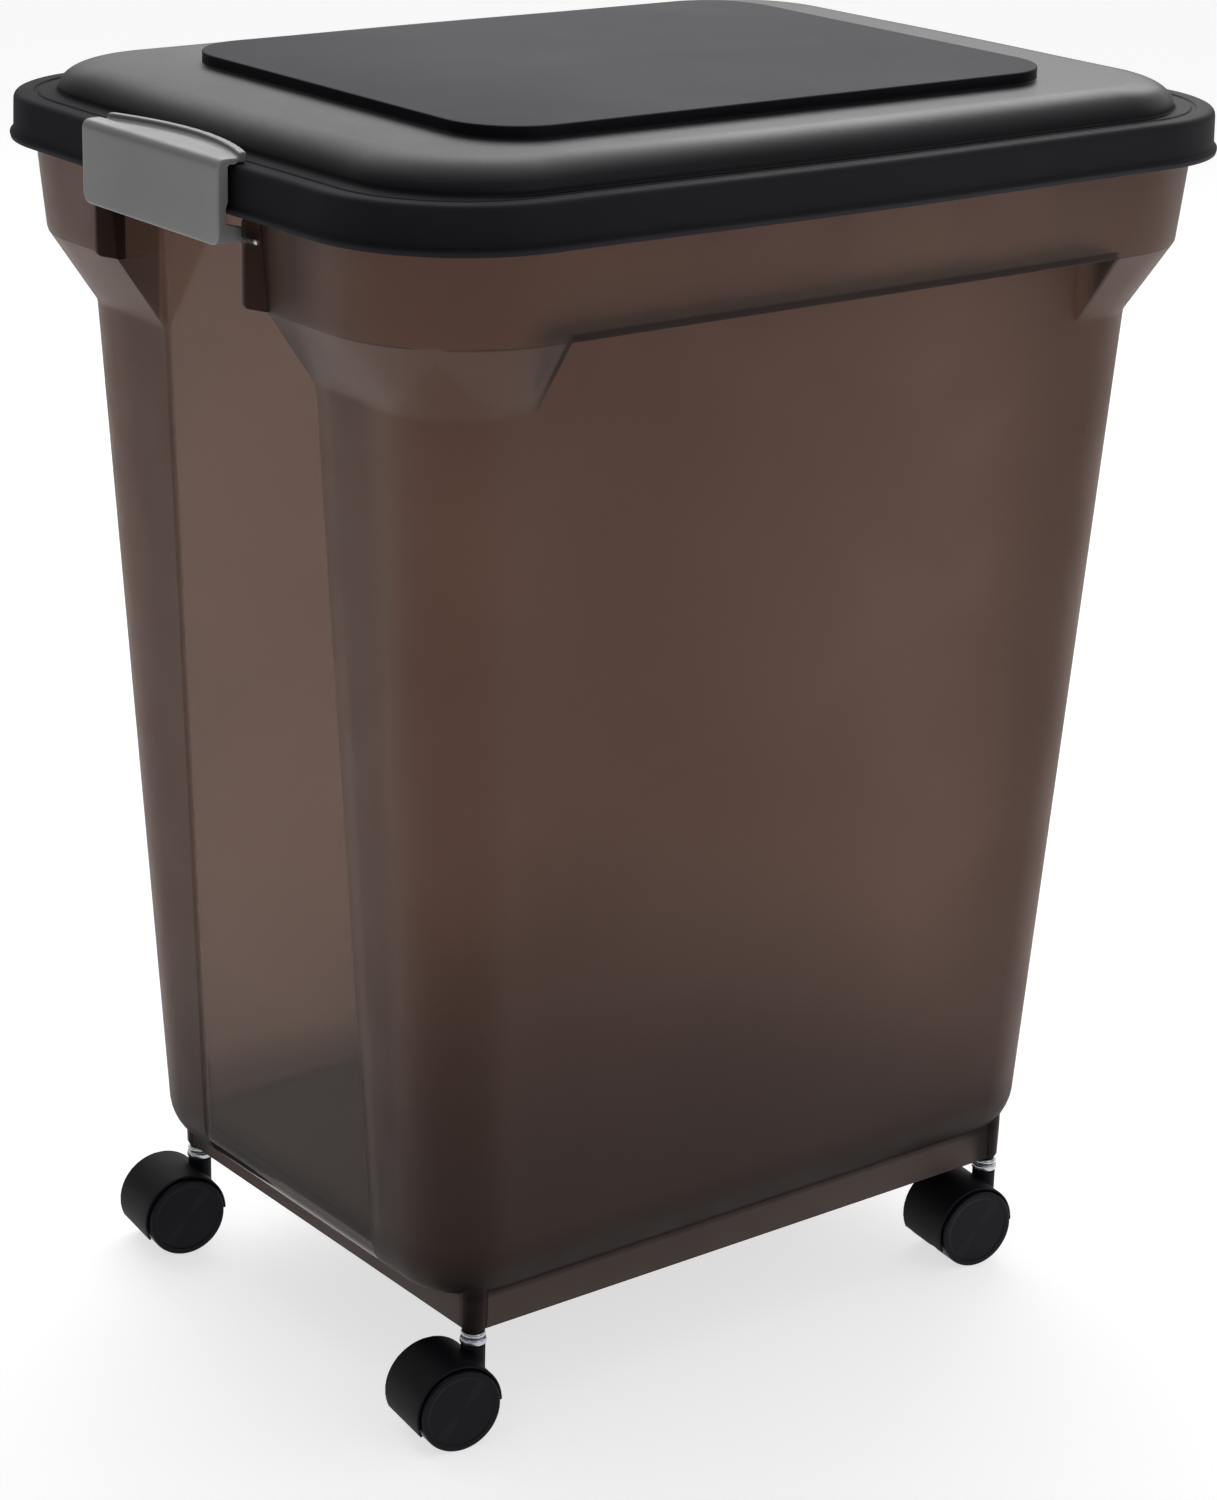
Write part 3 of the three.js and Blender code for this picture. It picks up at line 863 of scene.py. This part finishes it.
def collar_sheen_and_shade(n, base, x, y, z):
    """Painted sheen on the chamfer under the collar, and painted shade under the collar's overhang, at
    the flat panel's ends and along the collar's crease.
    """
    # Painted sheen: the outer chamfer under the collar is painted paler and greyer.
    chamfer = band(n, z, WALL_HIGH[3] * MM, COLLAR_LOW[3] * MM, 0.0004)
    outer = n.span(n.math("MAXIMUM", n.math("SUBTRACT", x, 0.058), y), 0, 1, 0.148, 0.150)
    base = n.mix(n.product(chamfer, outer, 0.25), base, CHAMFER_SHEEN)
    # Painted shade under the collar's overhang, along the top edge of the flat panel.
    front = n.span(y, 0, 1, 0.144, 0.1445)
    along = n.span(x, 1, 0, PANEL_HALF * MM, (PANEL_HALF + 3) * MM)
    shelf = band(n, z, PANEL_TOP * MM, (PANEL_TOP + 3.2) * MM, 0.0009)
    base = n.mix(n.product(shelf, along, front, 0.85), base, SHELF_SHADE)
    # Painted shade on the chamfer at both ends of the flat panel.
    end = band(n, x, PANEL_HALF * MM, (PANEL_HALF + 2.5) * MM, 0.0006)
    past_wall = n.span(y, 0, 1, 0.147, 0.160)
    base = n.mix(n.product(end, chamfer, past_wall, 0.8), base, PANEL_END_SHADE)
    # Painted shade: a thin dark line along the crease at the collar's foot.
    crease = band(n, z, (COLLAR_LOW[3] - 0.3) * MM, (COLLAR_LOW[3] + 0.3) * MM, 0.0003)
    rim = n.span(n.math("MAXIMUM", n.math("SUBTRACT", x, 0.060), y), 0, 1, 0.154, 0.155)
    return n.mix(n.product(crease, rim, 0.6), base, CREASE_SHADE)


def jamb_and_low_shade(n, base, x, y, z):
    """Painted shade on the side faces of the recesses, towards the bottom of the wall, on the foot and
    on the inner floor.
    """
    # Painted shade on the side faces of the recesses in the collar.
    jamb = n.product(band(n, y, 0.0577, 0.0613, 0.0003), n.span(x, 0, 1, 0.2078, 0.2088),
                     n.span(z, 0, 1, 0.483, 0.485))
    base = n.mix(n.product(jamb, 0.75), base, JAMB_SHADE)
    # Painted shade, darker towards the bottom of the wall.
    base = n.mix(n.product(n.span(z, 1, 0, 0.085, 0.18), 0.32), base, LOW_SHADE)
    # Painted shade on the foot skirt, for the bin's shadow on the floor beneath it.
    base = n.mix(n.product(n.span(z, 1, 0, 0.076, 0.096), 0.85), base, FOOT_SHADE)
    # Painted shade on the inner floor plate, for the shadow beneath the bin.
    plate = n.product(n.span(z, 0, 1, 0.0660, 0.0664), n.span(z, 1, 0, 0.0695, 0.0720))
    inside = n.product(n.span(x, 1, 0, 0.160, 0.170), n.span(y, 1, 0, 0.119, 0.126))
    return n.mix(n.product(plate, inside, 0.95), base, FLOOR_SHADE)


def band(n, value, low, high, soft):
    """1 between two values, fading to 0 beyond them."""
    rising = n.span(value, 0, 1, low - soft, low)
    falling = n.span(value, 1, 0, high, high + soft)
    return n.math("MULTIPLY", rising, falling)


def smoke_plastic():
    """Frosted smoke-brown plastic, smooth and paler in the recesses of the short sides, with painted
    sheen on the chamfer and painted shade in creases, recesses and towards the bottom.
    """
    n = Nodes("smoke_plastic")
    x, y, z = n.place()
    x = n.math("ABSOLUTE", x, 0)
    y = n.math("ABSOLUTE", y, 0)
    half = n.span(z, RECESS_FOOT_HALF * MM, RECESS_HALF * MM, WALL_LOW[3] * MM, WALL_HIGH[3] * MM)
    window = n.span(n.math("SUBTRACT", half, y), 0, 1, 0, 0.001)
    beside = n.span(x, 0, 1, 0.175, 0.177)
    clear = n.product(window, beside)
    cloud = n.span(n.noise(9, 5), 0, 1, 0.35, 0.65)
    base = n.mix(cloud, (0.285, 0.204, 0.174), (0.320, 0.234, 0.198))
    base = n.mix(n.product(n.span(n.noise(260, 3), 0, 1), 0.05), base, (0.18, 0.13, 0.11))
    # Painted shade on the short sides beside the window, darker low down.
    side_shade = n.product(n.math("SUBTRACT", beside, clear), n.span(z, 1, 0, 0.484, 0.486),
                      n.span(z, 0.65, 0.3, 0.10, 0.25), n.span(y, 1, 0, 0.093, 0.105))
    base = n.mix(side_shade, base, (0.10, 0.070, 0.060))
    base = n.mix(n.product(clear, 0.8), base, (0.40, 0.32, 0.28))
    base = collar_sheen_and_shade(n, base, x, y, z)
    n.colour(jamb_and_low_shade(n, base, x, y, z))
    hazy = n.math("SUBTRACT", 1, clear)
    frosted = n.product(hazy, n.span(n.noise(40, 4), 0.50, 0.60))
    n.roughness(n.math("ADD", frosted, n.product(clear, 0.10)))
    peel = n.product(n.noise(70, 2), hazy)
    n.bump([(peel, 0.0003, 0.12), (n.noise(14, 3), 0.0006, 0.06)])
    n.link(n.span(clear, 1.3, 1.15, 0, 1), n.shader.inputs["IOR"])
    n.set(Transmission_Weight=0.92, Specular_IOR_Level=0.2, Specular_Tint=(0.6, 0.4, 0.35, 1))
    return n.material


def moulded(name, dark, light, rough, grain, gloss, levels=None):
    """Satin moulded plastic: fine spark-eroded grain, slow colour drift, convex edges painted lighter
    as a highlight.
    On the lid, levels are the top of its matte ledge and the height of its raised panel, which is
    painted a paler grey as a sheen."""
    n = Nodes(name)
    drift = n.span(n.noise(12, 4), 0, 1)
    base = n.mix(drift, dark, light)
    # Painted highlight along convex edges.
    edge_highlight = tuple(min(1, value * 1.8 + 0.01) for value in light)
    base = n.mix(n.product(n.edges(0.505, 0.53), 0.25), base, edge_highlight)
    fine = n.noise(grain, 3)
    patches = n.noise(30, 4)
    value = n.math("ADD", n.span(patches, rough[0], rough[1]), n.span(fine, -0.03, 0.03))
    if levels:
        ledge_top, panel = levels
        x, _, z = n.place()
        value = n.math("ADD", value, n.span(z, 0.3, 0, ledge_top - 0.001, ledge_top))
        value = n.math("ADD", value, n.span(x, 0.22, 0, -0.25, -0.05))
        raised = n.span(z, 0, 1, panel, panel + 0.0004)
        value = n.math("ADD", value, n.product(raised, 0.5))
        # Painted sheen: the raised panel is painted a paler grey.
        base = n.mix(raised, base, n.mix(drift, (0.070, 0.068, 0.076), (0.080, 0.078, 0.087)))
    n.colour(base)
    n.roughness(value)
    n.bump([(fine, 0.0001, 0.25), (n.noise(8, 3), 0.0008, 0.02)])
    n.set(IOR=1.5, Specular_IOR_Level=gloss)
    return n.material


def zinc():
    n = Nodes("zinc_steel")
    drift = n.span(n.noise(60, 4), 0, 1)
    n.colour(n.mix(drift, (0.48, 0.52, 0.57), (0.68, 0.70, 0.73)))
    lines = n.noise(400, 2, n.stretched((1, 1, 12)))
    n.roughness(n.span(lines, 0.18, 0.34))
    n.bump([(lines, 0.0001, 0.2)])
    n.set(Metallic=1.0)
    return n.material


def rubber():
    n = Nodes("seal_rubber")
    n.colour(n.mix(n.span(n.noise(50, 4), 0, 1), (0.020, 0.020, 0.022), (0.035, 0.035, 0.037)))
    n.roughness(n.span(n.noise(200, 3), 0.7, 0.85))
    n.bump([(n.noise(700, 3), 0.0001, 0.4)])
    return n.material


def dress(obj, material):
    obj.data.materials.clear()
    obj.data.materials.append(material)


# ---- studio --------------------------------------------------------------------------------


FLOOR_HALF = 9


def floor():
    """A white floor that glows a little, which keeps the shadow on it soft and pale."""
    mesh = bpy.data.meshes.new("floor")
    corners = [(sx * FLOOR_HALF, sy * FLOOR_HALF, 0) for sx, sy in ((-1, -1), (1, -1), (1, 1), (-1, 1))]
    mesh.from_pydata(corners, [], [(0, 1, 2, 3)])
    obj = bpy.data.objects.new("floor", mesh)
    bpy.context.collection.objects.link(obj)
    material = bpy.data.materials.new("floor_white")
    material.use_nodes = True
    shader = material.node_tree.nodes["Principled BSDF"]
    shader.inputs["Base Color"].default_value = (0.5, 0.5, 0.5, 1)
    shader.inputs["Roughness"].default_value = 0.9
    shader.inputs["Specular IOR Level"].default_value = 0.1
    shader.inputs["Emission Color"].default_value = (1, 1, 1, 1)
    shader.inputs["Emission Strength"].default_value = 0.67
    obj.data.materials.append(material)


def area_light(name, place, aim, size, power):
    data = bpy.data.lights.new(name, "AREA")
    data.shape = "RECTANGLE"
    data.size, data.size_y = size
    data.energy = power
    obj = bpy.data.objects.new(name, data)
    bpy.context.collection.objects.link(obj)
    obj.location = place
    direction = Vector(aim) - Vector(place)
    obj.rotation_euler = direction.to_track_quat("-Z", "Y").to_euler()


def map_range(tree, value, ends, results, smoothed=False):
    node = tree.nodes.new("ShaderNodeMapRange")
    if smoothed:
        node.interpolation_type = "SMOOTHSTEP"
    for socket, number in zip(("From Min", "From Max", "To Min", "To Max"), ends + results):
        node.inputs[socket].default_value = number
    tree.links.new(value, node.inputs["Value"])
    return node.outputs["Result"]


BACKDROP = (0.68, 0.64, 0.36)


def world(front, back):
    """Soft white surroundings: a bright backdrop beyond the object, dimmer on the camera's side
    and towards the horizon."""
    scene_world = bpy.data.worlds.new("studio")
    bpy.context.scene.world = scene_world
    scene_world.use_nodes = True
    tree = scene_world.node_tree
    background = tree.nodes["Background"]
    background.inputs["Color"].default_value = (1, 1, 1, 1)
    direction = tree.nodes.new("ShaderNodeTexCoord").outputs["Generated"]
    towards = tree.nodes.new("ShaderNodeVectorMath")
    towards.operation = "DOT_PRODUCT"
    towards.inputs[1].default_value = BACKDROP
    height = tree.nodes.new("ShaderNodeSeparateXYZ")
    strength = tree.nodes.new("ShaderNodeMath")
    strength.operation = "MULTIPLY"
    tree.links.new(direction, towards.inputs[0])
    tree.links.new(direction, height.inputs[0])
    spread = map_range(tree, towards.outputs["Value"], (0.1, 0.95), (front, back), True)
    rise = map_range(tree, height.outputs["Z"], (0, 0.22), (0.15, 1))
    tree.links.new(spread, strength.inputs[0])
    tree.links.new(rise, strength.inputs[1])
    tree.links.new(strength.outputs[0], background.inputs["Strength"])


SENSOR = 36
FOCAL = 3742.85 / 1500
CAMERA_TURN = (0.66466, 0.342338, 0.026772)
CAMERA_PLACE = (-1.04862, -1.34212, 0.869758)


def camera():
    yaw, pitch, roll = CAMERA_TURN
    level = math.cos(pitch)
    forward = Vector((math.sin(yaw) * level, math.cos(yaw) * level, -math.sin(pitch)))
    right = Vector((math.cos(yaw), -math.sin(yaw), 0))
    up = right.cross(forward)
    right_rolled = math.cos(roll) * right + math.sin(roll) * up
    up_rolled = -math.sin(roll) * right + math.cos(roll) * up
    data = bpy.data.cameras.new("camera")
    data.sensor_fit = "VERTICAL"
    data.sensor_height = SENSOR
    data.lens = SENSOR * FOCAL
    obj = bpy.data.objects.new("camera", data)
    bpy.context.collection.objects.link(obj)
    axes = Matrix((right_rolled, up_rolled, -forward)).transposed()
    obj.matrix_world = Matrix.Translation(CAMERA_PLACE) @ axes.to_4x4()
    bpy.context.scene.camera = obj


def studio():
    floor()
    world(0.3, 0.92)
    area_light("top", (0.2, 0.6, 2.4), (0, 0, 0.4), (2.4, 2.4), 20)
    area_light("back", (1.3, 1.7, 1.7), (0, 0, 0.5), (2.4, 1.0), 20)
    area_light("front", (0.8, -2.8, 1.6), (0, 0, 0.4), (1.6, 1.6), 8)
    bpy.context.scene.view_settings.view_transform = "Standard"
    camera()


# ---- assembly ------------------------------------------------------------------------------


LID_BLACK = ((0.004, 0.004, 0.006), (0.006, 0.006, 0.009))
LATCH_GREY = ((0.143, 0.144, 0.147), (0.172, 0.173, 0.176))
COVER_BLACK = ((0.003, 0.003, 0.005), (0.005, 0.005, 0.007))
WHEEL_BLACK = ((0.003, 0.003, 0.006), (0.005, 0.005, 0.008))


def main():
    smoke = smoke_plastic()
    lid_levels = ((LEDGE + 2.5) * MM, (TOP - 0.5) * MM)
    lid_black = moulded("lid_plastic", *LID_BLACK, (0.33, 0.36), 1500, 0.18, lid_levels)
    latch_grey = moulded("latch_plastic", *LATCH_GREY, (0.38, 0.46), 1200, 0.4)
    cover_black = moulded("caster_plastic", *COVER_BLACK, (0.55, 0.65), 900, 0.12)
    wheel_black = moulded("wheel_plastic", *WHEEL_BLACK, (0.34, 0.42), 900, 0.12)
    steel = zinc()
    looks = {"cover": cover_black, "wheel": wheel_black, "steel": steel}
    dress(tub(), smoke)
    dress(lid(), lid_black)
    dress(seal(), rubber())
    for name, side in (("left", -1), ("right", 1)):
        dress(latch(name, side), latch_grey)
        dress(latch_pin(name, side), steel)
    for name in CORNERS:
        for piece, kind in caster(name):
            dress(piece, looks[kind])
    studio()


main()
